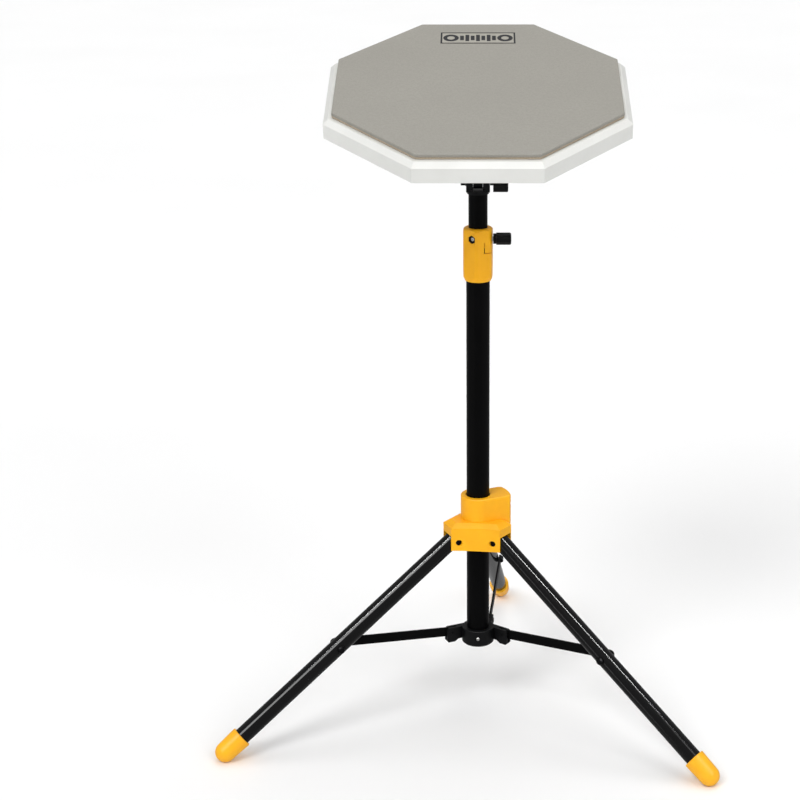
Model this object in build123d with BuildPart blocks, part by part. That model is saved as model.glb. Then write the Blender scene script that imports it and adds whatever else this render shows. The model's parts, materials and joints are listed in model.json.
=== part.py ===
from build123d import *
import os
from math import sin, cos, radians, degrees, atan2, hypot

# Octagonal drum practice pad on a folding three-legged stand.
# Millimetres, +Z up, origin on the floor under the axis of the stand's tubes.
# The pad's front flat looks to -Y, where the player sits.

os.makedirs("parts", exist_ok=True)

# ---------------------------------------------------------------- driving dimensions
run = 0.06                      # radial clearance of running fits
snug = 0.02                     # radial gap of fits inside one body

tube_r, tube_wall = 12.5, 1.2   # main tube
tube_z0, tube_z1 = 85.2, 541.0
mast_r, mast_wall = 10.0, 1.2   # telescoping upper tube
mast_z0, mast_z1 = 168.0, 598.0

leg_r, leg_wall = 9.25, 1.2     # leg tubes
leg_turn = -5.5                 # the stand is turned a little under the pad
leg_az = {"back": 90 + leg_turn, "left": 210 + leg_turn, "right": 330 + leg_turn}
hinge_r, hinge_z = 29.2, 213.2  # leg hinge in the tripod hub
pin_r = 2.5
foot_r = 300.0                  # centre of the foot's ball from the axis
ball_r, foot_flat = 11.2, 0.5   # rubber foot's ball and the flat under it
cap_mouth_r, cap_len = 12.0, 24.0

brace_at = 173.0                # brace bolt, measured down the leg from its hinge
brace_side = {"back": 1, "left": 1, "right": -1}   # which side of its leg the strip lies on
strip_w, strip_t = 10.5, 2.0
strip_gap = 0.4                 # the strip runs this far clear of the leg's side
spr_pin_r, spr_pin_z = 28.0, 95.0
spr_z0, spr_z1, spr_r = 82.6, 101.4, 18.0
arm_r, arm_top = 34.5, 100.6

hub_z0, hub_roof, hub_neck, hub_top = 203.7, 229.6, 234.3, 261.0
hub_long, hub_short = 28.0, 37.0   # axis to the wide faces and to the leg ends
ring_r = 19.0
lobe_az = 30 + leg_turn            # brake lobe, between the right and the back leg
brake_az, brake_z = -3.0, 249.5
pocket_half = 9.9

clamp_z0, clamp_z1, clamp_r = 505.0, 562.0, 16.3
clamp_flat = 14.9               # axis to the collar's six flats
knob_z = 549.5
set_az, set_z = 244.0, 551.5

fork_screw_z = 592.0
tilt_z = 612.0                  # height of the tilt bolt
tilt = 17.0                     # the pad leans this much to the player
bolt_r = 2.5
stud_r = 4.0
board_t = 82.0                  # underside of the board, measured from the tilt bolt
board_across, board_h, board_bevel = 305.0, 20.7, 5.0
rubber_across, rubber_h, underlay_h = 288.0, 4.0, 2.5
label_w, label_d, label_h, label_y = 80.0, 28.0, 0.3, 109.0
flange_r, flange_h, boss_r = 30.0, 3.0, 9.0

# ---------------------------------------------------------------- derived geometry
ball_z = ball_r - foot_flat
theta = atan2(foot_r - hinge_r, hinge_z - ball_z)      # the leg's angle from straight down
leg_len = hypot(foot_r - hinge_r, hinge_z - ball_z)
brace_r = hinge_r + brace_at * sin(theta)
brace_z = hinge_z - brace_at * cos(theta)
strip_len = hypot(brace_r - spr_pin_r, brace_z - spr_pin_z)
strip_rise = degrees(atan2(brace_z - spr_pin_z, brace_r - spr_pin_r))
strip_e = leg_r + strip_gap + strip_t / 2
top_t = board_t + board_h
face_t = top_t + underlay_h + rubber_h      # playing surface


# ---------------------------------------------------------------- places and directions
def keep(part, label):
    """Names a finished piece and writes its file."""
    part.label = label
    export_step(part, f"parts/{label}.step")


def out(az):
    """Unit vector away from the tubes at this bearing."""
    return Vector(cos(radians(az)), sin(radians(az)), 0)


def side(az):
    """Unit vector across a leg, clockwise seen from above."""
    return Vector(sin(radians(az)), -cos(radians(az)), 0)


def radial_plane(az, e=0.0):
    """Upright plane through the axis: x is the distance outwards, y the height."""
    return Plane(origin=side(az) * e, x_dir=out(az), z_dir=side(az))


def facing_plane(az, r, z):
    """Upright plane square to a bearing, r from the axis: its normal points outwards."""
    return Plane(origin=out(az) * r + Vector(0, 0, z), x_dir=side(az) * -1, z_dir=out(az))


def leg_axis(az):
    """The leg's centre line, from its hinge towards its foot."""
    start = out(az) * hinge_r + Vector(0, 0, hinge_z)
    return Axis(start, out(az) * sin(theta) - Vector(0, 0, cos(theta)))


def leg_plane(az, e=0.0):
    """Upright plane along the leg: x runs down the leg from the hinge."""
    ax = leg_axis(az)
    return Plane(origin=ax.position + side(az) * e, x_dir=ax.direction, z_dir=side(az))


def pad_plane(t):
    """Plane parallel to the playing surface, t above the tilt bolt."""
    n = Vector(0, -sin(radians(tilt)), cos(radians(tilt)))
    return Plane(origin=Vector(0, 0, tilt_z) + n * t, x_dir=(1, 0, 0), z_dir=n)


def pad_side_plane(x=0.0):
    """Upright plane across the X axis that leans with the pad: its y is the pad's normal."""
    n = Vector(0, -sin(radians(tilt)), cos(radians(tilt)))
    return Plane(origin=(x, 0, tilt_z), x_dir=(0, n.Z, -n.Y), z_dir=(1, 0, 0))


def cross_plane(x):
    """Plane square to the X axis: its x is +Y, its y is +Z."""
    return Plane(origin=(x, 0, 0), x_dir=(0, 1, 0), z_dir=(1, 0, 0))


# ---------------------------------------------------------------- column
def main_tube():
    with BuildPart() as p:
        with BuildSketch(Plane.XY.offset(tube_z0)):
            Circle(tube_r)
            Circle(tube_r - tube_wall, mode=Mode.SUBTRACT)
        extrude(amount=tube_z1 - tube_z0)
        with BuildSketch(Plane.XZ):
            with Locations((0, 92.7)):
                Circle(1.65)
        extrude(amount=20, both=True, mode=Mode.SUBTRACT)
    keep(p.part, "main_tube")


def mast_guide():
    """Nylon sleeve in the top of the main tube, which the upper tube slides in."""
    with BuildPart() as p:
        with BuildSketch(Plane.XY.offset(tube_z1 - 34)):
            Circle(tube_r - tube_wall - snug)
            Circle(mast_r + run, mode=Mode.SUBTRACT)
        extrude(amount=34)
    keep(p.part, "mast_guide")


def height_clamp():
    """Moulded collar on top of the main tube: it holds the height screw."""
    with BuildPart() as p:
        with BuildSketch(Plane.XZ):
            with BuildLine():
                Polyline((0, clamp_z0), (clamp_r - 2.4, clamp_z0), (clamp_r - 0.4, clamp_z0 + 4.5),
                         (clamp_r, clamp_z0 + 14), (clamp_r, clamp_z1 - 3.6))
                ThreePointArc((clamp_r, clamp_z1 - 3.6), (clamp_r - 1.05, clamp_z1 - 1.05),
                              (clamp_r - 3.6, clamp_z1))
                Polyline((clamp_r - 3.6, clamp_z1), (0, clamp_z1), (0, clamp_z0))
            make_face()
        revolve(axis=Axis.Z)
        with BuildSketch(Plane.XY.offset(clamp_z0 - 1)):
            RegularPolygon(radius=clamp_flat, side_count=6, rotation=23, major_radius=False)
        extrude(amount=80, mode=Mode.INTERSECT)
        with BuildSketch(Plane.XY.offset(clamp_z0)):
            Circle(tube_r + snug)
        extrude(amount=tube_z1 + 0.1 - clamp_z0, mode=Mode.SUBTRACT)
        with BuildSketch(Plane.XY.offset(clamp_z0)):
            Circle(mast_r + run)
        extrude(amount=80, mode=Mode.SUBTRACT)
        # tapped hole and seat of the height screw
        with BuildSketch(cross_plane(0)):
            with Locations((0, knob_z)):
                Circle(bolt_r + run)
        extrude(amount=30, mode=Mode.SUBTRACT)
        with BuildSketch(cross_plane(clamp_flat)):
            with Locations((0, knob_z)):
                Circle(6.0)
        extrude(amount=5, mode=Mode.SUBTRACT)
        # relief slits that free the tongue under the screw
        with BuildSketch(Plane.XY.offset(536.1)):
            with Locations((16.4, -5)):
                Rectangle(20, 22)
        extrude(amount=0.9, mode=Mode.SUBTRACT)
        with BuildSketch(Plane.XY.offset(536.1)):
            with Locations((6.8, -15)):
                Rectangle(0.9, 12)
        extrude(amount=12, mode=Mode.SUBTRACT)
        # hexagonal pocket and hole of the set screw
        with BuildSketch(facing_plane(set_az, 11.6, set_z)):
            RegularPolygon(radius=4.7, side_count=6, rotation=30)
        extrude(amount=10, mode=Mode.SUBTRACT)
        with BuildSketch(facing_plane(set_az, 0, set_z)):
            Circle(1.9 + snug)
        extrude(amount=20, mode=Mode.SUBTRACT)
    keep(p.part, "height_clamp")


def clamp_set_screw():
    """Short socket screw in the collar's pocket that takes up the play of the upper tube."""
    with BuildPart() as p:
        with BuildSketch(facing_plane(set_az, mast_r + 0.1, set_z)):
            Circle(1.9)
        extrude(amount=2.9)
        with BuildSketch(facing_plane(set_az, mast_r + 1.9, set_z)):
            RegularPolygon(radius=1.1, side_count=6)
        extrude(amount=6, mode=Mode.SUBTRACT)
    keep(p.part, "clamp_set_screw")


def clamp_nut():
    """Dark hexagon nut of the set screw, let into the collar's pocket."""
    with BuildPart() as p:
        with BuildSketch(facing_plane(set_az, 11.62, set_z)):
            RegularPolygon(radius=4.65, side_count=6, rotation=30)
            Circle(1.9 + snug, mode=Mode.SUBTRACT)
        extrude(amount=1.9)
    keep(p.part, "clamp_nut")


def spreader():
    """Black moulding at the foot of the main tube, with a forked arm for each brace."""
    with BuildPart() as p:
        with BuildSketch(Plane.XY.offset(spr_z0)):
            Circle(spr_r)
        extrude(amount=spr_z1 - spr_z0)
        chamfer(p.edges().filter_by(GeomType.CIRCLE).group_by(Axis.Z)[0], 1.6)
        fillet(p.edges().filter_by(GeomType.CIRCLE).group_by(Axis.Z)[-1], 0.8)
        for name, az in leg_az.items():
            e = brace_side[name] * strip_e
            half = strip_t / 2 + 0.2 + 2.6
            with BuildSketch(radial_plane(az, e)):
                Polygon((8, spr_z0 + 3.6), (21, spr_z0 + 3.6), (25, spr_z0 + 0.8), (arm_r - 1.6, spr_z0 + 0.8), (arm_r, spr_z0 + 2.4),
                        (arm_r, arm_top - 2.0), (arm_r - 2.0, arm_top), (8, arm_top), align=None)
            extrude(amount=half, both=True)
        for name, az in leg_az.items():
            e = brace_side[name] * strip_e
            with BuildSketch(radial_plane(az, e)):
                with Locations((40.5, 95)):
                    Rectangle(38, 40)
            extrude(amount=strip_t / 2 + 0.2, both=True, mode=Mode.SUBTRACT)
            with BuildSketch(radial_plane(az, e)):
                with Locations((spr_pin_r, spr_pin_z)):
                    Circle(2.0 + snug)
            extrude(amount=6, both=True, mode=Mode.SUBTRACT)
        with BuildSketch(Plane.XY.offset(tube_z0 - 0.1)):
            Circle(tube_r + snug)
        extrude(amount=30, mode=Mode.SUBTRACT)
        with BuildSketch(Plane.XZ):
            with Locations((0, 92.7)):
                Circle(1.65)
        extrude(amount=30, both=True, mode=Mode.SUBTRACT)
    keep(p.part, "spreader")


def spreader_rivets():
    """Bright rivets, front and back, that hold the spreader on the main tube."""
    with BuildPart() as p:
        for az in (-90, 90):
            with BuildSketch(facing_plane(az, 10.6, 92.7)):
                Circle(1.6)
            extrude(amount=spr_r - 10.6 + 0.1)
            with BuildSketch(facing_plane(az, spr_r + 0.02, 92.7)):
                Circle(2.0)
            extrude(amount=0.8, taper=35)
    keep(p.part, "spreader_rivets")


def spreader_pins():
    """Pins that the three braces turn on."""
    with BuildPart() as p:
        for name, az in leg_az.items():
            with BuildSketch(radial_plane(az, brace_side[name] * strip_e)):
                with Locations((spr_pin_r, spr_pin_z)):
                    Circle(2.0)
            extrude(amount=3.9, both=True)
            with BuildSketch(radial_plane(az, brace_side[name] * (strip_e + 3.82))):
                with Locations((spr_pin_r, spr_pin_z)):
                    Circle(3.0)
            extrude(amount=0.9 * brace_side[name])
    keep(p.part, "spreader_pins")


# ---------------------------------------------------------------- upper tube and its fittings
def mast_tube():
    with BuildPart() as p:
        with BuildSketch(Plane.XY.offset(mast_z0)):
            Circle(mast_r)
            Circle(mast_r - mast_wall, mode=Mode.SUBTRACT)
        extrude(amount=mast_z1 - mast_z0)
        with BuildSketch(facing_plane(90, 0, fork_screw_z)):
            Circle(1.5 + snug)
        extrude(amount=20, mode=Mode.SUBTRACT)
    keep(p.part, "mast_tube")


def mast_plug():
    """Nylon foot of the upper tube: it runs in the main tube, and the upper tube turns on it."""
    with BuildPart() as p:
        with BuildSketch(Plane.XY.offset(mast_z0 - 14.1)):
            Circle(tube_r - tube_wall - 0.05)
        extrude(amount=14)
        chamfer(p.faces().sort_by(Axis.Z)[0].edges(), 1.2)
        with BuildSketch(Plane.XY.offset(mast_z0 - 0.1)):
            Circle(mast_r - mast_wall - 0.06)
        extrude(amount=16)
        with BuildSketch(Plane.XY.offset(mast_z0 - 20)):
            Circle(4)
        extrude(amount=50, mode=Mode.SUBTRACT)
    keep(p.part, "mast_plug")


def tilt_fork():
    """Plug in the top of the upper tube with the two ears of the tilt joint."""
    with BuildPart() as p:
        with BuildSketch(Plane.XY.offset(mast_z1 - 34)):
            Circle(mast_r - mast_wall - snug)
        extrude(amount=34.1)
        with BuildSketch(Plane.XY.offset(mast_z1 + 0.02)):
            Circle(11.4)
        extrude(amount=5.0, taper=-12)
        with BuildSketch(cross_plane(0)):
            with BuildLine():
                Polyline((9.4, tilt_z), (9.4, mast_z1 + 3), (-9.4, mast_z1 + 3), (-9.4, tilt_z))
                ThreePointArc((-9.4, tilt_z), (0, tilt_z + 9.4), (9.4, tilt_z))
            make_face()
        extrude(amount=12.4, both=True)
        with BuildSketch(cross_plane(0)):
            with Locations((0, tilt_z + 4)):
                Rectangle(40, 28)
        extrude(amount=5.15, both=True, mode=Mode.SUBTRACT)
        with BuildSketch(cross_plane(0)):
            with Locations((0, tilt_z)):
                Circle(bolt_r + snug)
        extrude(amount=20, both=True, mode=Mode.SUBTRACT)
        with BuildSketch(facing_plane(90, 5.4, fork_screw_z)):
            Circle(1.5 + snug)
        extrude(amount=20, mode=Mode.SUBTRACT)
    keep(p.part, "tilt_fork")


def tilt_bolt():
    """Hexagon bolt through the fork: head on the left, thread in the wing knob."""
    with BuildPart() as p:
        with BuildSketch(cross_plane(-12.5)):
            with Locations((0, tilt_z)):
                Circle(bolt_r)
        extrude(amount=37.0)
        with BuildSketch(cross_plane(-18.0)):
            with Locations((0, tilt_z)):
                RegularPolygon(radius=5.8, side_count=6)
        extrude(amount=4.6)
        with BuildSketch(cross_plane(-13.4)):
            with Locations((0, tilt_z)):
                Circle(6.0)
        extrude(amount=0.9)
    keep(p.part, "tilt_bolt")


def fork_screw():
    """Small screw that locks the fork's plug in the upper tube, from behind."""
    with BuildPart() as p:
        with BuildSketch(facing_plane(90, mast_r + 0.05, fork_screw_z)):
            Circle(2.8)
        extrude(amount=1.3, taper=20)
        with BuildSketch(facing_plane(90, 5.5, fork_screw_z)):
            Circle(1.5)
        extrude(amount=mast_r - 5)
    keep(p.part, "fork_screw")


def wing_knob(label, x0, z, roll):
    """Wing knob on a screw along +X: neck towards the stand, paddle outside."""
    base = Plane(origin=(x0, 0, z), x_dir=(0, 1, 0), z_dir=(1, 0, 0))
    with BuildPart() as p:
        with BuildSketch(base):
            Circle(5.5)
        extrude(amount=3.4)
        with BuildSketch(base.offset(3.2)):
            with Locations(Rot(0, 0, roll)):
                SlotOverall(27.0, 9.6)
                Rectangle(14, 12.4)
        extrude(amount=15.6)
        fillet(p.faces().sort_by(Axis.X)[-1].edges(), 1.6)
        with BuildSketch(base):
            Circle(bolt_r + run)
        extrude(amount=12.5, mode=Mode.SUBTRACT)
        with BuildSketch(base.offset(-0.1)):
            RegularPolygon(radius=4.6, side_count=6)
        extrude(amount=3.2, mode=Mode.SUBTRACT)
    keep(p.part, label)


def knob_nut(label, x0, z):
    """Hexagon nut moulded into a wing knob."""
    base = Plane(origin=(x0, 0, z), x_dir=(0, 1, 0), z_dir=(1, 0, 0))
    with BuildPart() as p:
        with BuildSketch(base.offset(0.05)):
            RegularPolygon(radius=4.55, side_count=6)
            Circle(bolt_r + run, mode=Mode.SUBTRACT)
        extrude(amount=2.9)
    keep(p.part, label)


def height_screw():
    """Steel screw of the height knob, with a reduced tip that presses on the upper tube."""
    with BuildPart() as p:
        with BuildSketch(cross_plane(mast_r + 1.3)):
            with Locations((0, knob_z)):
                Circle(bolt_r)
        extrude(amount=clamp_r + 12.0 - mast_r - 1.3)
        with BuildSketch(cross_plane(mast_r + 0.12)):
            with Locations((0, knob_z)):
                Circle(bolt_r - 0.9)
        extrude(amount=1.3)
    keep(p.part, "height_screw")


# ---------------------------------------------------------------- head under the pad
def tilt_arm():
    """Tongue between the fork's ears, with the socket that holds the pad's stud."""
    with BuildPart() as p:
        with BuildSketch(pad_side_plane()):
            with BuildLine():
                Polyline((8.8, 0), (8.8, 20), (-8.8, 20), (-8.8, 0))
                ThreePointArc((-8.8, 0), (0, -8.8), (8.8, 0))
            make_face()
        extrude(amount=5.0, both=True)
        with BuildSketch(pad_plane(14.5)):
            Circle(8.8)
        extrude(amount=25.5)
        chamfer(p.edges().filter_by(GeomType.CIRCLE).sort_by(Axis.Z)[-1], 1.5)
        with BuildSketch(pad_side_plane()):
            Circle(bolt_r + run)
        extrude(amount=10, both=True, mode=Mode.SUBTRACT)
        with BuildSketch(pad_plane(22)):
            Circle(stud_r + snug)
        extrude(amount=40, mode=Mode.SUBTRACT)
    keep(p.part, "tilt_arm")


def pad_stud():
    """Threaded steel stud that the pad screws on to."""
    with BuildPart() as p:
        with BuildSketch(pad_plane(22.1)):
            Circle(stud_r)
        extrude(amount=board_t + 6 - 22.1)
        chamfer(p.edges().filter_by(GeomType.CIRCLE).sort_by(Axis.Z)[-1], 0.8)
    keep(p.part, "pad_stud")


def lock_nut():
    """Wing nut on the stud that locks the pad."""
    with BuildPart() as p:
        with BuildSketch(pad_plane(board_t - 29)):
            Circle(8.0)
        extrude(amount=13.2)
        with BuildSketch(pad_plane(board_t - 29)):
            SlotOverall(44, 6.0)
        extrude(amount=9.0)
        with BuildSketch(pad_plane(40)):
            Circle(stud_r + run)
        extrude(amount=40, mode=Mode.SUBTRACT)
    keep(p.part, "lock_nut")


def octagon(across):
    """Eight-sided outline with a flat towards the player, in the current sketch."""
    RegularPolygon(radius=across / 2 / cos(radians(22.5)), side_count=8, rotation=22.5)


def pad_flange():
    """Steel flange under the board with the boss that takes the stud."""
    with BuildPart() as p:
        with BuildSketch(pad_plane(board_t - flange_h - 0.02)):
            Circle(flange_r)
        extrude(amount=flange_h)
        with BuildSketch(pad_plane(board_t - 15)):
            Circle(boss_r)
        extrude(amount=14)
        with BuildSketch(pad_plane(board_t - 30)):
            Circle(stud_r + run)
        extrude(amount=60, mode=Mode.SUBTRACT)
        with BuildSketch(pad_plane(board_t - 30)):
            with PolarLocations(21, 4, start_angle=45):
                Circle(2.2)
        extrude(amount=60, mode=Mode.SUBTRACT)
    keep(p.part, "pad_flange")


def flange_screws():
    """Four pan-head wood screws that hold the flange."""
    with BuildPart() as p:
        with BuildSketch(pad_plane(board_t - flange_h - 0.04)):
            with PolarLocations(21, 4, start_angle=45):
                Circle(4.0)
        extrude(amount=-2.0, taper=20)
        with BuildSketch(pad_plane(board_t - flange_h - 1.0)):
            with PolarLocations(21, 4, start_angle=45):
                Circle(1.9)
        extrude(amount=17)
        with BuildSketch(pad_plane(board_t - flange_h - 3.0)):
            with PolarLocations(21, 4, start_angle=45):
                Rectangle(3.6, 0.9)
                Rectangle(0.9, 3.6)
        extrude(amount=1.9, mode=Mode.SUBTRACT)
    keep(p.part, "flange_screws")


def pad_board():
    """Painted board that carries the rubber."""
    with BuildPart() as p:
        with BuildSketch(pad_plane(board_t)):
            octagon(board_across)
        extrude(amount=board_h)
        top = p.faces().sort_by(Axis((0, 0, 0), pad_plane(0).z_dir))[-1]
        chamfer(top.edges(), board_bevel)
        bottom = p.faces().sort_by(Axis((0, 0, 0), pad_plane(0).z_dir))[0]
        fillet(bottom.edges(), 0.8)
        with BuildSketch(pad_plane(board_t - 1)):
            Circle(5.5)
        extrude(amount=12, mode=Mode.SUBTRACT)
        with BuildSketch(pad_plane(board_t - 1)):
            with PolarLocations(21, 4, start_angle=45):
                Circle(1.92)
        extrude(amount=15, mode=Mode.SUBTRACT)
    keep(p.part, "pad_board")


def pad_underlay():
    """Thin foam layer between the board and the rubber."""
    with BuildPart() as p:
        with BuildSketch(pad_plane(top_t + 0.02)):
            octagon(rubber_across - 0.6)
        extrude(amount=underlay_h - 0.04)
    keep(p.part, "pad_underlay")


def pad_rubber():
    """The playing surface."""
    with BuildPart() as p:
        with BuildSketch(pad_plane(top_t + underlay_h)):
            octagon(rubber_across)
        extrude(amount=rubber_h)
        top = p.faces().sort_by(Axis((0, 0, 0), pad_plane(0).z_dir))[-1]
        fillet(top.edges(), 0.7)
        with BuildSketch(pad_plane(face_t - label_h)):
            with Locations((0, label_y)):
                RectangleRounded(label_w + 0.1, label_d + 0.1, 2)
        extrude(amount=2, mode=Mode.SUBTRACT)
    keep(p.part, "pad_rubber")


def pad_label():
    """Plain printed plate let into the rubber at its far edge."""
    with BuildPart() as p:
        with BuildSketch(pad_plane(face_t - label_h + 0.01)):
            with Locations((0, label_y)):
                RectangleRounded(label_w, label_d, 2)
        extrude(amount=label_h - 0.02)
    keep(p.part, "pad_label")


# ---------------------------------------------------------------- sliding tripod hub
def hub_outline():
    """Three wide faces and three narrow leg ends, in the current sketch."""
    a = cos(radians(60))
    s = (hub_short - hub_long * a) / sin(radians(60))
    reach = hypot(hub_long, s)
    swing = degrees(atan2(s, hub_long))
    pts = []
    for az in leg_az.values():
        for b in (az - 60 + swing, az + 60 - swing):
            pts.append((reach * cos(radians(b)), reach * sin(radians(b))))
    Polygon(*pts, align=None)


def tripod_hub():
    """Yellow moulding that slides on the main tube and holds the three legs."""
    with BuildPart() as p:
        with BuildSketch(Plane.XY.offset(hub_z0)):
            hub_outline()
        extrude(amount=hub_roof - hub_z0)
        with BuildSketch(Plane.XY.offset(hub_roof)):
            hub_outline()
        extrude(amount=hub_neck - hub_roof, taper=58)
        # wide faces, slightly hollow
        for az in leg_az.values():
            with BuildSketch(Plane.XY.offset(hub_z0 - 1)):
                with Locations(out(az + 60) * (hub_long + 260 - 1.4)):
                    Circle(260)
            extrude(amount=40, mode=Mode.SUBTRACT)
        with BuildSketch(Plane.XY.offset(hub_roof - 4)):
            Circle(ring_r)
        extrude(amount=hub_top - hub_roof + 4)
        # brake lobe: one face runs on from the ring, the end is rounded
        with BuildSketch(Plane(origin=(0, 0, hub_roof - 4), x_dir=out(lobe_az), z_dir=(0, 0, 1))):
            with BuildLine():
                Polyline((0, -ring_r), (29.5, -ring_r), (32.2, -16.4))
                ThreePointArc((32.2, -16.4), (34.6, -3), (33.0, 9.5))
                Polyline((33.0, 9.5), (29, 11), (0, 11), (0, -ring_r))
            make_face()
        extrude(amount=hub_top - hub_roof + 4)
        rims = p.edges().group_by(Axis.Z)[-1]
        fillet(rims, 1.4)
        # sliding bore, flared at the top
        with BuildSketch(Plane.XY.offset(hub_z0 - 1)):
            Circle(tube_r + run)
        extrude(amount=80, mode=Mode.SUBTRACT)
        with BuildSketch(Plane.XY.offset(hub_top - 2.5)):
            Circle(tube_r + run)
        extrude(amount=2.6, taper=-22, mode=Mode.SUBTRACT)
        for az in leg_az.values():
            # pocket that the leg swings in
            low = leg_r + 0.75
            n = Vector(cos(theta), sin(theta), 0)
            d = Vector(sin(theta), -cos(theta), 0)
            a = Vector(hinge_r, hinge_z, 0) + n * low
            b = a + d * 60
            with BuildSketch(radial_plane(az)):
                Polygon((hinge_r - low - 0.6, hub_z0 - 20), (hinge_r - low - 0.6, hinge_z), (hinge_r, hinge_z),
                        (a.X, a.Y), (b.X, b.Y), (b.X, hub_z0 - 20), align=None)
                with Locations((hinge_r, hinge_z)):
                    Circle(low + 0.6)
            extrude(amount=pocket_half, both=True, mode=Mode.SUBTRACT)
            # hinge pin's hole and the wider recesses for its ends
            with BuildSketch(radial_plane(az)):
                with Locations((hinge_r, hinge_z)):
                    Circle(pin_r + snug)
            extrude(amount=30, both=True, mode=Mode.SUBTRACT)
            for e in (-1, 1):
                with BuildSketch(radial_plane(az, e * 12.2)):
                    with Locations((hinge_r, hinge_z)):
                        Circle(3.4)
                extrude(amount=e * 14, mode=Mode.SUBTRACT)
        # arched underside between the legs
        for az in leg_az.values():
            with BuildSketch(Plane(origin=out(az + 60) * 14, x_dir=side(az + 60), z_dir=out(az + 60))):
                with Locations((0, hub_z0 - 87.2)):
                    Circle(90)
            extrude(amount=30, mode=Mode.SUBTRACT)
        # radial hole of the brake screw and seat of its pad
        with BuildSketch(facing_plane(brake_az, 0, brake_z)):
            Circle(2.5 + snug)
        extrude(amount=50, mode=Mode.SUBTRACT)
        with BuildSketch(facing_plane(brake_az, 0, brake_z)):
            Circle(3.5 + snug)
        extrude(amount=17, mode=Mode.SUBTRACT)
    keep(p.part, "tripod_hub")


def hub_pins():
    """Steel hinge pins of the three legs, a socket in each end."""
    with BuildPart() as p:
        for az in leg_az.values():
            with BuildSketch(radial_plane(az)):
                with Locations((hinge_r, hinge_z)):
                    Circle(pin_r)
            extrude(amount=12.6, both=True)
            for e in (-1, 1):
                with BuildSketch(radial_plane(az, e * 12.25)):
                    with Locations((hinge_r, hinge_z)):
                        Circle(3.2)
                        RegularPolygon(radius=1.6, side_count=6, mode=Mode.SUBTRACT)
                extrude(amount=e * 1.2)
    keep(p.part, "hub_pins")


def brake_screw():
    """Socket screw that presses the hub's brake pad on the main tube."""
    with BuildPart() as p:
        with BuildSketch(facing_plane(brake_az, 17.05, brake_z)):
            Circle(2.5)
        extrude(amount=14)
        with BuildSketch(facing_plane(brake_az, 28, brake_z)):
            RegularPolygon(radius=1.5, side_count=6)
        extrude(amount=6, mode=Mode.SUBTRACT)
    keep(p.part, "brake_screw")


def brake_pad():
    """Nylon pad between the brake screw and the main tube."""
    with BuildPart() as p:
        with BuildSketch(facing_plane(brake_az, 0, brake_z)):
            Circle(3.5)
        extrude(amount=17)
        with BuildSketch(Plane.XY.offset(brake_z - 10)):
            Circle(tube_r + run)
        extrude(amount=20, mode=Mode.SUBTRACT)
    keep(p.part, "brake_pad")


# ---------------------------------------------------------------- legs and braces
def leg_tube(name, az):
    with BuildPart() as p:
        with BuildSketch(leg_plane(az)):
            Polygon((-3.6, leg_r - leg_wall), (-3.6, leg_r), (leg_len - 6, leg_r),
                    (leg_len - 6, leg_r - leg_wall), align=None)
        revolve(axis=leg_axis(az))
        with BuildSketch(leg_plane(az)):
            Circle(pin_r + run)
            with Locations((brace_at, 0)):
                Circle(2.5 + snug)
        extrude(amount=15, both=True, mode=Mode.SUBTRACT)
    keep(p.part, f"leg_tube_{name}")


def leg_plug(name, az):
    """Nylon plug in the leg's hinged end."""
    with BuildPart() as p:
        with BuildSketch(leg_plane(az)):
            Polygon((-7.4, 0), (-7.4, 5.0), (-6.2, 7.2), (-3.7, 8.9), (-3.7, leg_r - leg_wall - snug),
                    (16, leg_r - leg_wall - snug), (16, 0), align=None)
        revolve(axis=leg_axis(az))
        with BuildSketch(leg_plane(az)):
            Circle(pin_r + run)
        extrude(amount=15, both=True, mode=Mode.SUBTRACT)
    keep(p.part, f"leg_plug_{name}")


def leg_foot(name, az):
    """Bullet-shaped rubber foot pushed over the leg's end."""
    m = leg_len - cap_len
    with BuildPart() as p:
        with BuildSketch(leg_plane(az)):
            with BuildLine():
                Polyline((m, leg_r + snug), (m, cap_mouth_r - 0.6), (m + 0.6, cap_mouth_r),
                         (leg_len, ball_r))
                ThreePointArc((leg_len, ball_r),
                              (leg_len + ball_r * sin(radians(45)), ball_r * cos(radians(45))),
                              (leg_len + ball_r, 0))
                Polyline((leg_len + ball_r, 0), (leg_len - 5.9, 0), (leg_len - 5.9, leg_r + snug),
                         (m, leg_r + snug))
            make_face()
        revolve(axis=leg_axis(az))
        with BuildSketch(Plane.XY):
            Rectangle(800, 800)
        extrude(amount=-20, mode=Mode.SUBTRACT)
    keep(p.part, f"leg_foot_{name}")


def leg_bolt(name, az):
    """Brace bolt in the leg: domed head on one side, flush with the tube on the strip's side."""
    s = brace_side[name]
    with BuildPart() as p:
        with BuildSketch(leg_plane(az, -s * (leg_r - 0.4))):
            with Locations((brace_at, 0)):
                Circle(2.5)
        extrude(amount=s * (2 * leg_r - 0.5))
        with BuildSketch(leg_plane(az, -s * (leg_r + 0.05))):
            with Locations((brace_at, 0)):
                Circle(4.6)
        extrude(amount=-s * 0.9)
        with BuildSketch(leg_plane(az, -s * (leg_r + 0.9))):
            with Locations((brace_at, 0)):
                Circle(4.2)
        extrude(amount=-s * 1.9, taper=28)
        with BuildSketch(leg_plane(az, -s * (leg_r + 0.2))):
            with Locations((brace_at, 0)):
                Circle(2.5)
        extrude(amount=s * 1.0)
    keep(p.part, f"leg_bolt_{name}")


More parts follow.
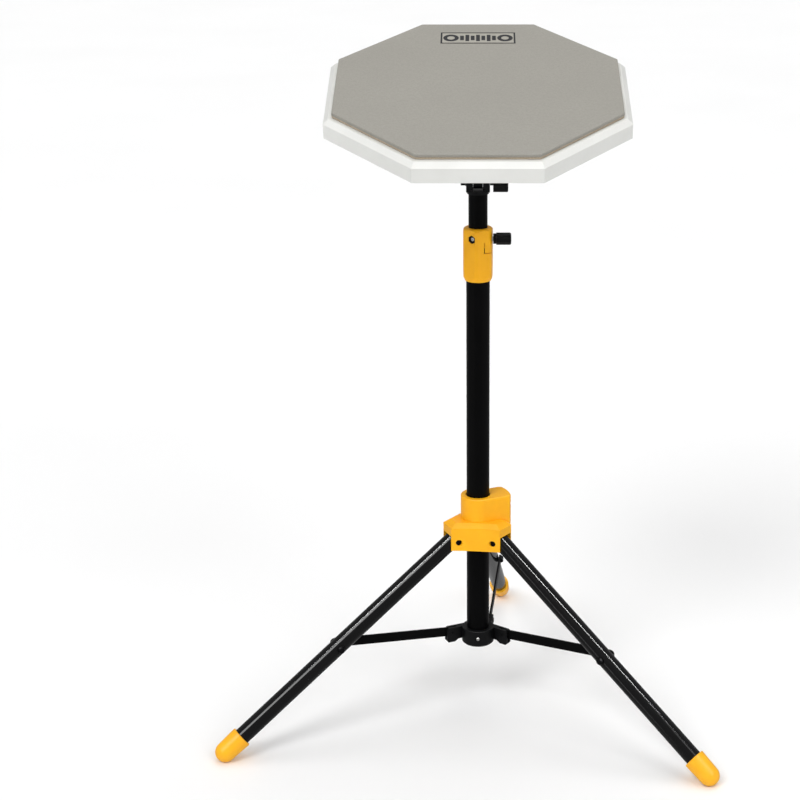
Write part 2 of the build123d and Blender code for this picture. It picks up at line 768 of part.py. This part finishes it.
def brace(name, az):
    """Flat steel strip from the spreader to the leg."""
    e = brace_side[name] * strip_e
    mid = ((spr_pin_r + brace_r) / 2, (spr_pin_z + brace_z) / 2)
    with BuildPart() as p:
        with BuildSketch(radial_plane(az, e)):
            with Locations(Pos(mid[0], mid[1]) * Rot(0, 0, strip_rise)):
                SlotCenterToCenter(strip_len, strip_w)
            with Locations((spr_pin_r, spr_pin_z)):
                Circle(2.0 + run, mode=Mode.SUBTRACT)
            with Locations((brace_r, brace_z)):
                Circle(2.5 + snug, mode=Mode.SUBTRACT)
        extrude(amount=strip_t / 2, both=True)
    keep(p.part, f"brace_{name}")


def brace_rivet(name, az):
    """Rivet at the strip's outer end: domed head outside, flush with the strip inside."""
    s = brace_side[name]
    face = strip_e + strip_t / 2
    with BuildPart() as p:
        with BuildSketch(radial_plane(az, s * (strip_e - strip_t / 2))):
            with Locations((brace_r, brace_z)):
                Circle(2.5)
        extrude(amount=s * (strip_t + 0.3))
        with BuildSketch(radial_plane(az, s * (face + 0.05))):
            with Locations((brace_r, brace_z)):
                Circle(4.6)
        extrude(amount=s * 0.9)
        with BuildSketch(radial_plane(az, s * (face + 0.9))):
            with Locations((brace_r, brace_z)):
                Circle(4.2)
        extrude(amount=s * 1.9, taper=28)
    keep(p.part, f"brace_rivet_{name}")


# ---------------------------------------------------------------- build everything
main_tube()
mast_guide()
height_clamp()
clamp_set_screw()
clamp_nut()
spreader()
spreader_rivets()
spreader_pins()
mast_tube()
mast_plug()
tilt_fork()
tilt_bolt()
fork_screw()
wing_knob("tilt_knob", 12.6, tilt_z, 48)
knob_nut("tilt_knob_nut", 12.6, tilt_z)
wing_knob("height_knob", 16.0, knob_z, -12)
height_screw()
tilt_arm()
pad_stud()
lock_nut()
pad_flange()
flange_screws()
pad_board()
pad_underlay()
pad_rubber()
pad_label()
tripod_hub()
hub_pins()
brake_screw()
brake_pad()
for leg_name, leg_bearing in leg_az.items():
    leg_tube(leg_name, leg_bearing)
    leg_plug(leg_name, leg_bearing)
    leg_foot(leg_name, leg_bearing)
    leg_bolt(leg_name, leg_bearing)
    brace(leg_name, leg_bearing)
    brace_rivet(leg_name, leg_bearing)
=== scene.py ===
import json
import math

import bmesh
import bpy
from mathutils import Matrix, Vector


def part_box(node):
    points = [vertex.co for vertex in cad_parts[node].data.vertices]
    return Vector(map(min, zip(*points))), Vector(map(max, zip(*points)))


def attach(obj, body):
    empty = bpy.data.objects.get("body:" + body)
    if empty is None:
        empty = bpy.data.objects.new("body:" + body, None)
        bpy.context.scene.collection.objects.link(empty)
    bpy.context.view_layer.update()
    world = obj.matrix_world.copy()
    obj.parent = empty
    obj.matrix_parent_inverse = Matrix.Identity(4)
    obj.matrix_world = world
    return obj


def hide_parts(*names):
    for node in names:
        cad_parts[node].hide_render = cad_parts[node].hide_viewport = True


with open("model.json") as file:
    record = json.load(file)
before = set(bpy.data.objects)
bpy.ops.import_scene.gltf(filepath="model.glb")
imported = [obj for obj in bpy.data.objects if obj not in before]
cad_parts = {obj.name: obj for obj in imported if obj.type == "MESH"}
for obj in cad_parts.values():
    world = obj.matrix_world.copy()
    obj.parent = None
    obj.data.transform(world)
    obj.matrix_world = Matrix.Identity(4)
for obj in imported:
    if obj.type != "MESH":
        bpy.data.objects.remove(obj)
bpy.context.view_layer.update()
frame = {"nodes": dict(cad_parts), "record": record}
scene = bpy.context.scene
scene.view_settings.view_transform = "Standard"
NODES = frame["nodes"]

MM = 0.001
FACE = next(m for m in frame["record"]["mounts"] if m["name"] == "playing_face")
PAD_NORMAL = Vector(FACE["axis"]).normalized()
PAD_UP = Vector((0, PAD_NORMAL.z, -PAD_NORMAL.y))


def layer_size(node):
    """Width across the flats and thickness, in mm, of a flat node on the tilted pad."""
    lo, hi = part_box(node)
    across = hi.x - lo.x
    return across / MM, (hi.z - lo.z - across * abs(PAD_NORMAL.y)) / PAD_NORMAL.z / MM


RUBBER_ACROSS, RUBBER_H = layer_size("pad_rubber")
FOAM_ACROSS, FOAM_H = layer_size("pad_underlay")


# ---------------------------------------------------------------- camera

def make_camera():
    data = bpy.data.cameras.new("camera")
    data.lens = 84.7
    data.sensor_width = 36.0
    data.shift_x = -0.0975
    data.clip_start, data.clip_end = 0.05, 50
    cam = bpy.data.objects.new("camera", data)
    cam.location = (0, -1.925, 1.033)
    cam.rotation_euler = (math.radians(71.0), 0, 0)
    scene.collection.objects.link(cam)
    scene.camera = cam


# ---------------------------------------------------------------- materials

class Shader:
    """A material's node tree, with short calls for the nodes used here."""

    def __init__(self, name):
        self.material = bpy.data.materials.new(name)
        self.material.use_nodes = True
        self.tree = self.material.node_tree
        self.tree.nodes.clear()
        self.bsdf = self.add("ShaderNodeBsdfPrincipled")
        out = self.add("ShaderNodeOutputMaterial")
        self.link(self.bsdf.outputs["BSDF"], out.inputs["Surface"])
        self.coords = self.add("ShaderNodeTexCoord").outputs["Object"]
        self.height = None

    def add(self, kind, **props):
        node = self.tree.nodes.new(kind)
        for key, value in props.items():
            setattr(node, key, value)
        return node

    def link(self, a, b):
        self.tree.links.new(a, b)

    def set(self, **sockets):
        for key, value in sockets.items():
            self.bsdf.inputs[key.replace("_", " ")].default_value = value

    def stretched(self, scale):
        node = self.add("ShaderNodeMapping")
        node.inputs["Scale"].default_value = scale
        self.link(self.coords, node.inputs["Vector"])
        return node.outputs["Vector"]

    def noise(self, size, detail=3.0, rough=0.55, vector=None):
        """Noise whose features are about size metres across."""
        node = self.add("ShaderNodeTexNoise")
        node.inputs["Scale"].default_value = 1.0 / size
        node.inputs["Detail"].default_value = detail
        node.inputs["Roughness"].default_value = rough
        self.link(vector or self.coords, node.inputs["Vector"])
        return node.outputs["Fac"]

    def cells(self, size, feature="F1"):
        node = self.add("ShaderNodeTexVoronoi", feature=feature)
        node.inputs["Scale"].default_value = 1.0 / size
        self.link(self.coords, node.inputs["Vector"])
        return node.outputs["Distance"]

    def ramp(self, fac, *stops):
        node = self.add("ShaderNodeValToRGB")
        els = node.color_ramp.elements
        while len(els) < len(stops):
            els.new(0.5)
        for el, (pos, colour) in zip(els, stops):
            el.position = pos
            if not hasattr(colour, "__len__"):
                colour = (colour, colour, colour)
            el.color = (*colour, 1)
        self.link(fac, node.inputs["Fac"])
        return node.outputs["Color"]

    def maths(self, op, a, b=0.0):
        node = self.add("ShaderNodeMath", operation=op)
        for socket, value in zip(node.inputs, (a, b)):
            if isinstance(value, (int, float)):
                socket.default_value = value
            else:
                self.link(value, socket)
        return node.outputs["Value"]

    def mix(self, fac, a, b):
        node = self.add("ShaderNodeMix", data_type="RGBA")
        self.link(fac, node.inputs["Factor"])
        for socket, value in ((node.inputs["A"], a), (node.inputs["B"], b)):
            if isinstance(value, tuple):
                socket.default_value = (*value, 1)
            else:
                self.link(value, socket)
        return node.outputs["Result"]

    def darker(self, colour, tint):
        node = self.add("ShaderNodeMix", data_type="RGBA", blend_type="MULTIPLY")
        node.inputs["Factor"].default_value = 1.0
        self.link(colour, node.inputs["A"])
        node.inputs["B"].default_value = (*tint, 1)
        return node.outputs["Result"]

    def edge_wear(self, radius, low, high):
        """1 on edges and 0 on flats, broken up by noise."""
        bevel = self.add("ShaderNodeBevel", samples=4)
        bevel.inputs["Radius"].default_value = radius
        flat = self.add("ShaderNodeNewGeometry").outputs["Normal"]
        dot = self.add("ShaderNodeVectorMath", operation="DOT_PRODUCT")
        self.link(bevel.outputs["Normal"], dot.inputs[0])
        self.link(flat, dot.inputs[1])
        edge = self.maths("SUBTRACT", 1.0, dot.outputs["Value"])
        edge = self.maths("ADD", edge, self.maths("MULTIPLY", self.noise(0.0012), 0.06))
        return self.ramp(edge, (low, 0.0), (high, 1.0))

    def colour(self, socket):
        self.link(socket, self.bsdf.inputs["Base Color"])

    def roughness(self, fac, low, high):
        self.link(self.ramp(fac, (0.25, low), (0.75, high)), self.bsdf.inputs["Roughness"])

    def bump(self, height, distance, strength=1.0):
        """Adds one more bump, of distance metres, on top of the last."""
        node = self.add("ShaderNodeBump")
        node.inputs["Strength"].default_value = strength
        node.inputs["Distance"].default_value = distance
        self.link(height, node.inputs["Height"])
        if self.height is not None:
            self.link(self.height, node.inputs["Normal"])
        self.height = node.outputs["Normal"]
        self.link(self.height, self.bsdf.inputs["Normal"])


def shade(colour, k):
    return tuple(min(1.0, c * k) for c in colour)


def powder_coat(name, colour, low, high, specular, peel):
    """Black paint on a steel tube: orange peel, fine rubs along the tube, chips on the edges."""
    s = Shader(name)
    rub = s.noise(1.0, 4, 0.6, s.stretched((2600, 2600, 26)))
    cloud = s.noise(0.04, 2)
    base = s.ramp(cloud, (0.3, shade(colour, 0.75)), (0.7, shade(colour, 1.35)))
    lines = s.ramp(rub, (0.66, 0.0), (0.80, 0.35))
    base = s.mix(lines, base, shade(colour, 3.0))
    base = s.mix(s.edge_wear(0.0006, 0.20, 0.34), base, shade(colour, 12.0))
    s.colour(base)
    s.roughness(s.maths("ADD", s.maths("MULTIPLY", rub, 0.5), s.maths("MULTIPLY", cloud, 0.5)), low, high)
    s.bump(s.noise(0.0022, 2), peel)
    s.set(Specular_IOR_Level=specular)
    return s.material


def moulded(name, colour, low, high, specular=0.45, grain=0.0005, wear=1.25, sss=0.0):
    """Injection-moulded plastic or soft rubber: spark-eroded grain, faint flow marks, rubbed edges."""
    s = Shader(name)
    cloud = s.noise(0.022, 3)
    speck = s.noise(grain * 1.6, 2)
    base = s.ramp(cloud, (0.3, shade(colour, 0.93)), (0.7, shade(colour, 1.05)))
    base = s.mix(s.ramp(speck, (0.62, 0.0), (0.80, 0.35)), base, shade(colour, 0.82))
    base = s.mix(s.edge_wear(0.0007, 0.16, 0.40), base, shade(colour, wear))
    s.colour(base)
    s.roughness(s.maths("ADD", s.maths("MULTIPLY", speck, 0.4), s.maths("MULTIPLY", cloud, 0.6)), low, high)
    s.bump(speck, 0.00002)
    s.bump(s.noise(0.006, 2), 0.00005)
    s.set(Specular_IOR_Level=specular)
    if sss:
        s.set(Subsurface_Weight=sss, Subsurface_Radius=(0.004, 0.002, 0.0006), Subsurface_Scale=0.4)
    return s.material


def plated(name, colour, low, high):
    """Zinc-plated or blackened steel: mottled passivation and turning marks."""
    s = Shader(name)
    mottle = s.noise(0.0028, 4, 0.65)
    turned = s.noise(1.0, 3, 0.5, s.stretched((300, 300, 5200)))
    base = s.ramp(mottle, (0.3, shade(colour, 0.78)), (0.7, shade(colour, 1.12)))
    base = s.mix(s.edge_wear(0.0004, 0.16, 0.34), base, shade(colour, 1.5))
    s.colour(base)
    s.roughness(s.maths("ADD", s.maths("MULTIPLY", mottle, 0.5), s.maths("MULTIPLY", turned, 0.5)), low, high)
    s.bump(turned, 0.00001)
    s.set(Metallic=1.0)
    return s.material


def board_paint():
    """Satin white paint rolled on a pressed board: fine roller stipple and faintly greyed edges."""
    s = Shader("white_board")
    cloud = s.noise(0.05, 3)
    stipple = s.noise(0.0011, 3)
    base = s.ramp(cloud, (0.3, (0.715, 0.718, 0.690)), (0.7, (0.765, 0.768, 0.742)))
    dirt = s.ramp(s.noise(0.0030, 5, 0.7), (0.70, 0.0), (0.86, 0.30))
    base = s.mix(dirt, base, (0.60, 0.595, 0.56))
    base = s.mix(s.edge_wear(0.0009, 0.20, 0.46), base, (0.82, 0.82, 0.80))
    s.colour(base)
    s.roughness(cloud, 0.30, 0.42)
    s.bump(stipple, 0.00004)
    s.bump(s.noise(0.018, 2), 0.00008)
    s.set(Specular_IOR_Level=0.4, Coat_Weight=0.15, Coat_Roughness=0.25)
    return s.material


def playing_rubber():
    """Warm grey gum rubber with a fine leathery grain, painted shade in the grain's hollows, and scuffs where
    the sticks land.
    """
    s = Shader("grey_rubber")
    cloud = s.noise(0.09, 3)
    grain = s.noise(0.0010, 4, 0.65)
    pores = s.cells(0.0016)
    base = s.ramp(cloud, (0.25, (0.322, 0.309, 0.274)), (0.75, (0.345, 0.331, 0.294)))
    fleck = s.noise(0.0026, 2, 0.5)
    base = s.mix(s.ramp(fleck, (0.40, 0.0), (0.62, 0.55)), base, (0.305, 0.291, 0.260))
    # painted shade: where the grain is low, which the bump below sinks into hollows, the colour is darker
    base = s.mix(s.ramp(grain, (0.30, 0.0), (0.75, 1.0)), s.darker(base, (0.80, 0.80, 0.79)), base)
    scuff = s.ramp(s.noise(0.006, 6, 0.75), (0.64, 0.0), (0.80, 0.30))
    base = s.mix(scuff, base, (0.42, 0.405, 0.36))
    base = s.mix(s.edge_wear(0.0008, 0.18, 0.40), base, (0.43, 0.41, 0.36))
    s.colour(base)
    s.roughness(grain, 0.55, 0.78)
    s.bump(grain, 0.00012)
    s.bump(pores, 0.00006)
    s.set(Specular_IOR_Level=0.35, Sheen_Weight=0.08, Sheen_Roughness=0.5)
    return s.material


def foam(name, colour):
    """Closed-cell foam cut at the edge: small open cells, with painted shade darkening each cell's hollow."""
    s = Shader(name)
    cells = s.cells(0.0009)
    # painted shade: each cell's hollow, lowest in the bump below, is coloured darker towards its bottom
    base = s.ramp(cells, (0.05, shade(colour, 0.72)), (0.6, shade(colour, 1.08)))
    base = s.mix(s.ramp(s.noise(0.012, 3), (0.4, 0.0), (0.7, 0.5)), base, shade(colour, 0.9))
    s.colour(base)
    s.roughness(s.noise(0.003, 3), 0.75, 0.92)
    s.bump(cells, 0.00025)
    s.set(Specular_IOR_Level=0.25)
    return s.material


def floor_material():
    s = Shader("studio_floor")
    s.colour(s.ramp(s.noise(0.6, 2), (0.3, 0.93), (0.7, 0.95)))
    s.roughness(s.noise(0.05, 3), 0.55, 0.65)
    s.set(Specular_IOR_Level=0.2)
    return s.material


def backdrop_material():
    s = Shader("studio_backdrop")
    s.colour(s.ramp(s.noise(8.0, 2), (0.3, 0.0), (0.7, 0.01)))
    s.set(Emission_Color=(1.0, 1.0, 1.0, 1), Emission_Strength=0.98, Specular_IOR_Level=0.0)
    return s.material


def make_materials():
    return {
        "satin_black": powder_coat("satin_black", (0.0012, 0.0012, 0.0014), 0.36, 0.46, 0.07, 0.00003),
        "gloss_black": powder_coat("gloss_black", (0.0012, 0.0012, 0.0014), 0.11, 0.125, 0.30, 0.000001),
        "nylon_black": moulded("nylon_black", (0.0040, 0.0040, 0.0044), 0.42, 0.55, 0.14, wear=2.2),
        "yellow_plastic": moulded("yellow_plastic", (1.0, 0.455, 0.006), 0.34, 0.44, 0.26,
                                  grain=0.0006, wear=1.15, sss=0.05),
        "black_plastic": moulded("black_plastic", (0.0034, 0.0036, 0.0042), 0.34, 0.46, 0.16, wear=3.0),
        "zinc_steel": plated("zinc_steel", (0.60, 0.60, 0.585), 0.24, 0.40),
        "black_steel": plated("black_steel", (0.016, 0.016, 0.017), 0.30, 0.44),
        "white_board": board_paint(),
        "tan_foam": foam("tan_foam", (0.44, 0.365, 0.275)),
        "grey_rubber": playing_rubber(),
        "label": moulded("label", (0.36, 0.345, 0.30), 0.40, 0.50, 0.4, wear=1.1),
        "yellow_rubber": moulded("yellow_rubber", (1.0, 0.465, 0.010), 0.32, 0.42, 0.34,
                                 grain=0.0008, wear=1.12, sss=0.08),
        "label_ink": moulded("label_ink", (0.030, 0.030, 0.033), 0.50, 0.62, 0.15, wear=1.5),
        "studio_floor": floor_material(),
        "studio_backdrop": backdrop_material(),
    }


# ---------------------------------------------------------------- CAD nodes

def dress_nodes(materials):
    slots = {p["node"]: p["material_slot"] for p in frame["record"]["subparts"]}
    for name, obj in NODES.items():
        obj.data.materials.clear()
        obj.data.materials.append(materials[slots[name]])


SOFT_EDGES = {"tripod_hub": 0.9, "height_clamp": 0.8, "spreader": 0.5, "tilt_fork": 0.4, "tilt_arm": 0.4,
              "pad_board": 0.6, "lock_nut": 0.4}


def soften(name, width, segments=2, angle=35):
    """A small rounding on a CAD node's sharp edges, as paint and moulding leave them."""
    mod = NODES[name].modifiers.new("soften", "BEVEL")
    mod.width = width * MM
    mod.segments = segments
    mod.limit_method = "ANGLE"
    mod.angle_limit = math.radians(angle)
    mod.harden_normals = True
    mod.use_clamp_overlap = True


# ---------------------------------------------------------------- new pieces

def piece(name, bm, material, body, smooth=True):
    mesh = bpy.data.meshes.new(name)
    bmesh.ops.recalc_face_normals(bm, faces=bm.faces)
    bm.to_mesh(mesh)
    bm.free()
    for poly in mesh.polygons:
        poly.use_smooth = smooth
    mesh.materials.append(material)
    obj = bpy.data.objects.new(name, mesh)
    scene.collection.objects.link(obj)
    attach(obj, body)
    return obj


def pad_point(u, v, w):
    """A point u to the right, v up the tilted face and w above it, in metres from the face's centre."""
    return Vector(FACE["pos_m"]) + Vector((u, 0, 0)) + PAD_UP * v + PAD_NORMAL * w


def octagon(across, corner, per_side=10, per_corner=4):
    """Outline of a regular octagon, in mm, as (u, v) points; corner is the radius of its rounded corners."""
    reach = (across / 2 - corner) / math.cos(math.pi / 8)
    points = []
    for side in range(8):
        turn = math.pi / 4 * side
        arc = [turn - math.pi / 8 + math.pi / 4 * k / per_corner for k in range(per_corner + 1)]
        hub = (reach * math.cos(turn), reach * math.sin(turn))
        last = [(hub[0] + corner * math.cos(a), hub[1] + corner * math.sin(a)) for a in arc]
        if points:
            points += between(points[-1], last[0], per_side)
        points += last
    points += between(points[-1], points[0], per_side)
    turned = math.pi / 8
    return [(x * math.cos(turned) - y * math.sin(turned), x * math.sin(turned) + y * math.cos(turned))
            for x, y in points]


def between(a, b, count):
    return [(a[0] + (b[0] - a[0]) * k / count, a[1] + (b[1] - a[1]) * k / count) for k in range(1, count)]


def waver(u, v, amount, phase):
    """The small unevenness, in mm, of a layer cut and glued by hand."""
    return amount * (0.5 * math.sin(u / 31 + phase) * math.cos(v / 27 - phase)
                     + 0.3 * math.sin((u + v) / 17 + 2 * phase) + 0.2 * math.sin((u - v) / 9.5 - phase))


CUT_WAVER, FACE_WAVER = 0.12, 0.05       # unevenness of a layer's cut edge and of its face
FACE_RINGS = 24


def layer(bm, outline, profile, crown, phase):
    """A thin slab on the pad. profile lists (inset, height) in mm up its edge. crown is its middle's rise."""
    reach = max(abs(v) for _, v in outline)
    rings = []
    for inset, w in profile:
        k = 1 - inset / reach
        rings.append([(u * k + waver(v, u, CUT_WAVER, phase), v * k + waver(u, v, CUT_WAVER, -phase), w)
                      for u, v in outline])
    inset, rim = profile[-1]
    for step in range(1, FACE_RINGS + 1):
        k = (1 - inset / reach) * (1 - step / (FACE_RINGS + 1))
        rings.append([(u * k, v * k, rim + crown * (1 - k ** 6)
                       + waver(u * k, v * k, FACE_WAVER, phase) * (1 - k)) for u, v in outline])
    made = [[bm.verts.new(pad_point(u * MM, v * MM, w * MM)) for u, v, w in ring] for ring in rings]
    n = len(outline)
    for lower, upper in zip(made, made[1:]):
        for i in range(n):
            j = (i + 1) % n
            bm.faces.new((lower[i], lower[j], upper[j], upper[i]))
    bm.faces.new(made[0])
    bm.faces.new(made[-1])


def make_playing_pad(materials):
    """The rubber and the foam under it: rolled rims, a slightly bulging cut edge and a nearly flat face."""
    bm = bmesh.new()
    layer(bm, octagon(RUBBER_ACROSS, 1.6),
          [(0.5, -RUBBER_H), (0.15, -RUBBER_H + 0.12), (0.0, -RUBBER_H + 0.6), (0.0, -2.2), (0.03, -1.3),
           (0.16, -0.90), (0.42, -0.55), (0.85, -0.38), (1.6, -0.31), (3.0, -0.28)], 0.11, 0.4)
    rubber = piece("playing_skin", bm, materials["grey_rubber"], "pad")
    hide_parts("pad_rubber")
    bm = bmesh.new()
    low = -RUBBER_H - FOAM_H
    layer(bm, octagon(FOAM_ACROSS, 1.8),
          [(0.4, low), (0.10, low + 0.5), (0.0, low + 1.2), (0.08, low + 1.9), (0.4, low + FOAM_H - 0.02)],
          0.0, 1.7)
    foam_layer = piece("playing_foam", bm, materials["tan_foam"], "pad")
    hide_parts("pad_underlay")


def plate(bm, outline, low, high):
    """A flat printed shape on the pad: outline is a list of (u, v) in mm."""
    rings = [[bm.verts.new(pad_point(u * MM, v * MM, w * MM)) for u, v in outline] for w in (low, high)]
    n = len(outline)
    for i in range(n):
        j = (i + 1) % n
        bm.faces.new((rings[0][i], rings[0][j], rings[1][j], rings[1][i]))
    bm.faces.new(rings[1])


LABEL_V = 109.0                          # label's centre, up the face from its middle
FRAME_HALF, FRAME_LINE = (39.4, 13.4), 1.9
BARS, BAR_PITCH, BAR_HALF = 7, 5.6, 2.0
TALL_BAR, SHORT_BAR = 7.6, 5.4           # half heights
RING_U, RING_OUTER, RING_INNER, RING_STEPS = 28.4, 8.2, 4.0, 28
INK_BOTTOM, INK_TOP = 0.0, 0.06


def ink(bm, u0, u1, v0, v1):
    """A printed rectangle, in mm from the label's centre."""
    v0, v1 = LABEL_V + v0, LABEL_V + v1
    plate(bm, [(u0, v0), (u1, v0), (u1, v1), (u0, v1)], INK_BOTTOM, INK_TOP)


def make_label(materials):
    """Generic print on the label: a thin border, seven plain bars, and a ring at each end."""
    bm = bmesh.new()
    (hw, hh), t = FRAME_HALF, FRAME_LINE
    ink(bm, -hw, hw, hh - t, hh)
    ink(bm, -hw, hw, -hh, t - hh)
    ink(bm, -hw, t - hw, t - hh, hh - t)
    ink(bm, hw - t, hw, t - hh, hh - t)
    for k in range(BARS):
        u = (k - BARS // 2) * BAR_PITCH
        h = TALL_BAR if k % 2 else SHORT_BAR
        ink(bm, u - BAR_HALF, u + BAR_HALF, -h, h)
    for side in (-1, 1):
        for k in range(RING_STEPS):
            a0, a1 = (2 * math.pi * q / RING_STEPS for q in (k, k + 1))
            corners = ((RING_INNER, a0), (RING_OUTER, a0), (RING_OUTER, a1), (RING_INNER, a1))
            plate(bm, [(side * RING_U + r * math.cos(a), LABEL_V + r * math.sin(a)) for r, a in corners],
                  INK_BOTTOM, INK_TOP)
    piece("label_print", bm, materials["label_ink"], "pad", smooth=False)


THREAD_PITCH, THREAD_DEPTH = 1.25, 0.62


def thread(bm, start, axis, length, radius, pitch, depth, around=28, per_turn=8):
    """A V-threaded rod with small chamfers at both ends."""
    axis = axis.normalized()
    side = axis.orthogonal().normalized()
    other = axis.cross(side)
    rings = []
    count = int(length / pitch * per_turn)
    for i in range(count + 1):
        z = length * i / count
        edge = min(z, length - z)
        ring = []
        for k in range(around):
            a = 2 * math.pi * k / around
            phase = (z / pitch - k / around) % 1.0
            r = radius - depth * abs(2 * phase - 1)
            r = min(r, radius - depth + edge)
            ring.append(bm.verts.new(start + axis * z + (side * math.cos(a) + other * math.sin(a)) * r))
        rings.append(ring)
    for lower, upper in zip(rings, rings[1:]):
        for k in range(around):
            j = (k + 1) % around
            bm.faces.new((lower[k], lower[j], upper[j], upper[k]))
    bm.faces.new(rings[0])
    bm.faces.new(rings[-1])


def make_stud_thread(materials):
    """A real thread on the pad's stud, which shows under the pad."""
    lo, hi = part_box("pad_stud")
    radius = (hi.x - lo.x) / 2
    length = (hi.z - lo.z - 2 * radius * abs(PAD_NORMAL.y)) / PAD_NORMAL.z
    start = (lo + hi) / 2 - PAD_NORMAL * (length / 2)
    bm = bmesh.new()
    thread(bm, start, PAD_NORMAL, length, radius, THREAD_PITCH * MM, THREAD_DEPTH * MM)
    stud = piece("pad_stud_thread", bm, materials["zinc_steel"], "head")
    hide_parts("pad_stud")


# ---------------------------------------------------------------- studio

def glint(name, location, target, width, height, power):
    """A strip light that only shows as a highlight in glossy paint."""
    data = bpy.data.lights.new(name, "AREA")
    data.shape = "RECTANGLE"
    data.size, data.size_y = width, height
    data.energy = power
    obj = bpy.data.objects.new(name, data)
    obj.location = location
    obj.rotation_euler = (Vector(target) - Vector(location)).to_track_quat("-Z", "Y").to_euler()
    obj.visible_diffuse = False
    scene.collection.objects.link(obj)


def sun(name, azimuth, elevation, strength, spread):
    """Soft even light from that bearing, where azimuth 0 is over the camera's shoulder."""
    data = bpy.data.lights.new(name, "SUN")
    data.energy = strength
    data.angle = math.radians(spread)
    a, e = math.radians(azimuth), math.radians(elevation)
    back = Vector((math.sin(a) * math.cos(e), -math.cos(a) * math.cos(e), math.sin(e)))
    obj = bpy.data.objects.new(name, data)
    obj.rotation_euler = (-back).to_track_quat("-Z", "Y").to_euler()
    scene.collection.objects.link(obj)


def ring(bm, radius, z, around):
    turns = [2 * math.pi * k / around for k in range(around)]
    return [bm.verts.new((radius * math.cos(a), radius * math.sin(a), z)) for a in turns]


def staged(name, bm, material):
    """Adds a piece of the studio, which isn't part of the object."""
    mesh = bpy.data.meshes.new(name)
    bm.to_mesh(mesh)
    bm.free()
    mesh.materials.append(material)
    obj = bpy.data.objects.new(name, mesh)
    scene.collection.objects.link(obj)
    return obj


def make_floor(material):
    """A wide pale disc, dense enough near the object to shade cleanly."""
    bm = bmesh.new()
    around = 64
    centre = bm.verts.new((0, 0, 0))
    rings = [ring(bm, radius, 0, around) for radius in (0.3, 0.8, 2.0, 6.0, 14.0, 30.0)]
    for k in range(around):
        j = (k + 1) % around
        bm.faces.new((centre, rings[0][k], rings[0][j]))
        for inner, outer in zip(rings, rings[1:]):
            bm.faces.new((inner[k], outer[k], outer[j], inner[j]))
    staged("studio_floor", bm, material).visible_glossy = False


def make_backdrop(material):
    """A far pale dome. Only the camera sees it, so it neither lights nor shades the object."""
    bm = bmesh.new()
    around = 48
    rings = [ring(bm, radius, z, around)
             for radius, z in ((24.0, -0.5), (24.0, 9.0), (16.8, 19.0), (4.8, 26.0))]
    for lower, upper in zip(rings, rings[1:]):
        for k in range(around):
            j = (k + 1) % around
            bm.faces.new((lower[j], lower[k], upper[k], upper[j]))
    bm.faces.new(rings[-1])
    dome = staged("studio_backdrop", bm, material)
    for rays in ("diffuse", "glossy", "transmission", "shadow"):
        setattr(dome, "visible_" + rays, False)


def make_studio(materials):
    make_floor(materials["studio_floor"])
    make_backdrop(materials["studio_backdrop"])
    world = bpy.data.worlds.new("studio")
    world.use_nodes = True
    background = world.node_tree.nodes["Background"]
    background.inputs["Color"].default_value = (1.0, 1.0, 1.0, 1)
    background.inputs["Strength"].default_value = 0.40
    scene.world = world
    sun("key", -34, 46, 1.32, 24)
    sun("fill", 40, 40, 0.78, 30)
    sun("top", 150, 78, 0.82, 40)
    glint("strip_over", (-0.1, -0.75, 1.9), (-0.1, 0, 0.2), 2.6, 0.05, 60)
    glint("strip_left", (-1.5, -1.4, 0.2), (0, 0, 0.35), 0.10, 1.6, 2)
    glint("strip_right", (1.7, -1.1, 0.2), (0, 0, 0.35), 0.10, 1.6, 2)


make_camera()
mats = make_materials()
dress_nodes(mats)
for node_name, edge in SOFT_EDGES.items():
    soften(node_name, edge)
make_playing_pad(mats)
make_label(mats)
make_stud_thread(mats)
make_studio(mats)
